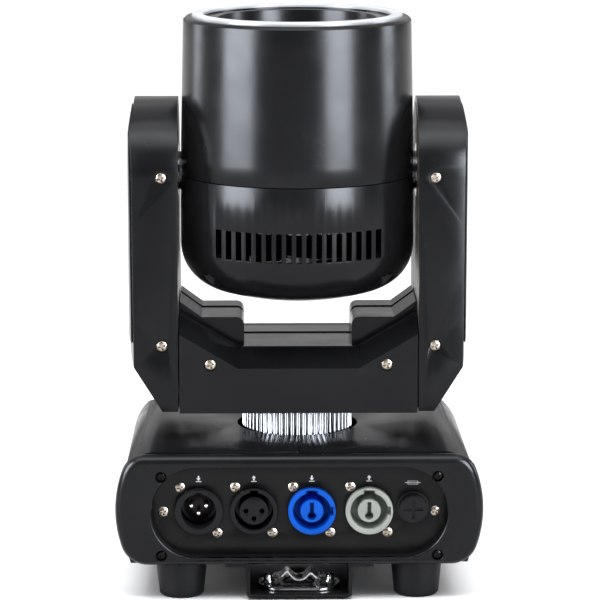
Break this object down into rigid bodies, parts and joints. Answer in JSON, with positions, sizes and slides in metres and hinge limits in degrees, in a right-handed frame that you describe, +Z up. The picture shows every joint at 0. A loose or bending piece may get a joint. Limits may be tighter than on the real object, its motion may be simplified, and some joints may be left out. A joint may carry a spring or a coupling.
{
  "type": "moving head light",
  "caption": "Compact moving head stage light: wide base with connector panel and quarter-turn mount, panning U-shaped yoke, tilting cylindrical head with lens hood and light ring.",
  "frame": {"origin": "centre of the fixture's footprint, on the plane its feet stand on; the pan axis is the Z axis", "axes": "+Z up along the pan axis, -Y towards the connector panel, +Y towards the display, +X to the right seen from the connector side, along the tilt axis"},
  "size_m": [0.1878, 0.152, 0.2944],
  "materials": {
    "black_plastic": "fine spark-eroded texture, satin",
    "black_metal": "black powder coat",
    "grey_buttons": "satin",
    "zinc_sheet": "bright zinc plate",
    "light_plate": "satin, pale beige",
    "nickel": "bright nickel plate",
    "aluminium": "machined",
    "bearing_steel": "ground",
    "blue_plastic": "semi-gloss",
    "white_plastic": "semi-gloss",
    "black_rubber": "matt",
    "circuit_board": "solder mask",
    "opal_ring": "opal, satin",
    "clear_glass": "polished, coated",
    "display_glass": "gloss",
    "led_white": "satin",
    "dichroic_glass": "coated"
  },
  "bodies": {
    "base": {"base_cover_left": "black_plastic", "base_cover_right": "black_plastic", "base_floor_plate": "zinc_sheet", "rear_end_cap": "black_plastic", "front_end_cap": "black_plastic", "connector_panel": "black_metal", "dmx_in_socket": "black_plastic", "dmx_in_pins": "nickel", "dmx_out_socket": "black_plastic", "power_in_socket": "blue_plastic", "power_out_socket": "white_plastic", "fuse_holder": "black_plastic", "rear_screws": "nickel", "display_panel": "black_plastic", "display_window": "display_glass", "foot_1": "black_rubber", "foot_2": "black_rubber", "foot_3": "black_rubber", "foot_4": "black_rubber", "mount_channel": "black_metal", "lock_receptacles": "zinc_sheet", "power_supply": "zinc_sheet", "control_board": "circuit_board", "pan_bearing": "bearing_steel", "pan_pulley": "aluminium"},
    "fuse_cap": {"fuse_cap": "black_plastic"},
    "menu_button_1": {"menu_button_1": "grey_buttons"},
    "menu_button_2": {"menu_button_2": "grey_buttons"},
    "menu_button_3": {"menu_button_3": "grey_buttons"},
    "menu_button_4": {"menu_button_4": "grey_buttons"},
    "yoke": {"yoke_frame": "zinc_sheet", "yoke_rear_cover": "black_plastic", "yoke_front_cover": "black_plastic", "left_arm_cover": "black_plastic", "right_arm_cover": "black_plastic", "left_arm_plate": "light_plate", "right_arm_plate": "light_plate", "left_side_panel": "black_plastic", "right_side_panel": "black_plastic", "yoke_screws": "nickel", "pan_shaft": "aluminium", "pan_motor": "black_metal", "pan_belt": "black_rubber", "tilt_motor": "black_metal", "tilt_belt": "black_rubber", "tilt_bearings": "bearing_steel"},
    "pan_motor_pulley": {"pan_motor_pulley": "aluminium"},
    "tilt_motor_pulley": {"tilt_motor_pulley": "aluminium"},
    "head": {"head_rear_shell": "black_plastic", "head_front_shell": "black_plastic", "light_ring": "opal_ring", "lens_hood": "black_plastic", "front_lens": "clear_glass", "heatsink": "aluminium", "led_board": "led_white", "fan_frame": "black_plastic", "head_chassis": "zinc_sheet", "tilt_trunnions": "aluminium"},
    "fan_rotor": {"fan_rotor": "black_plastic"},
    "colour_wheel": {"colour_wheel": "dichroic_glass"}
  },
  "joints": [
    {"name": "pan", "type": "hinge", "parent": "base", "child": "yoke", "pos_m": [0, 0, 0.085], "axis": [0, 0, 1], "range_deg": [-270, 270]},
    {"name": "tilt", "type": "hinge", "parent": "yoke", "child": "head", "pos_m": [0, 0, 0.212], "axis": [1, 0, 0], "range_deg": [-115, 115]},
    {"name": "pan_motor_spin", "type": "hinge", "parent": "yoke", "child": "pan_motor_pulley", "pos_m": [0.046, 0, 0.1], "axis": [0, 0, 1], "range_deg": [-1000, 1000]},
    {"name": "tilt_motor_spin", "type": "hinge", "parent": "yoke", "child": "tilt_motor_pulley", "pos_m": [-0.08, 0, 0.16], "axis": [1, 0, 0], "range_deg": [-300, 300]},
    {"name": "fan_spin", "type": "hinge", "parent": "head", "child": "fan_rotor", "pos_m": [0, 0, 0.157], "axis": [0, 0, 1], "continuous": true},
    {"name": "colour_wheel_spin", "type": "hinge", "parent": "head", "child": "colour_wheel", "pos_m": [-0.017, 0, 0.2], "axis": [0, 0, 1], "continuous": true},
    {"name": "fuse_cap_turn", "type": "hinge", "parent": "base", "child": "fuse_cap", "pos_m": [0.058, -0.07, 0.048], "axis": [0, 1, 0], "range_deg": [-90, 0]},
    {"name": "menu_button_1_press", "type": "slide", "parent": "base", "child": "menu_button_1", "axis": [0, -1, 0], "range_m": [0, 0.0012], "stiffness_N_per_m": 800, "springref_m": -0.0006},
    {"name": "menu_button_2_press", "type": "slide", "parent": "base", "child": "menu_button_2", "axis": [0, -1, 0], "range_m": [0, 0.0012], "stiffness_N_per_m": 800, "springref_m": -0.0006},
    {"name": "menu_button_3_press", "type": "slide", "parent": "base", "child": "menu_button_3", "axis": [0, -1, 0], "range_m": [0, 0.0012], "stiffness_N_per_m": 800, "springref_m": -0.0006},
    {"name": "menu_button_4_press", "type": "slide", "parent": "base", "child": "menu_button_4", "axis": [0, -1, 0], "range_m": [0, 0.0012], "stiffness_N_per_m": 800, "springref_m": -0.0006}
  ],
  "couplings": [
    {"joint": "pan_motor_spin", "follows": "pan", "ratio": -3.625},
    {"joint": "tilt_motor_spin", "follows": "tilt", "ratio": 2.5}
  ]
}
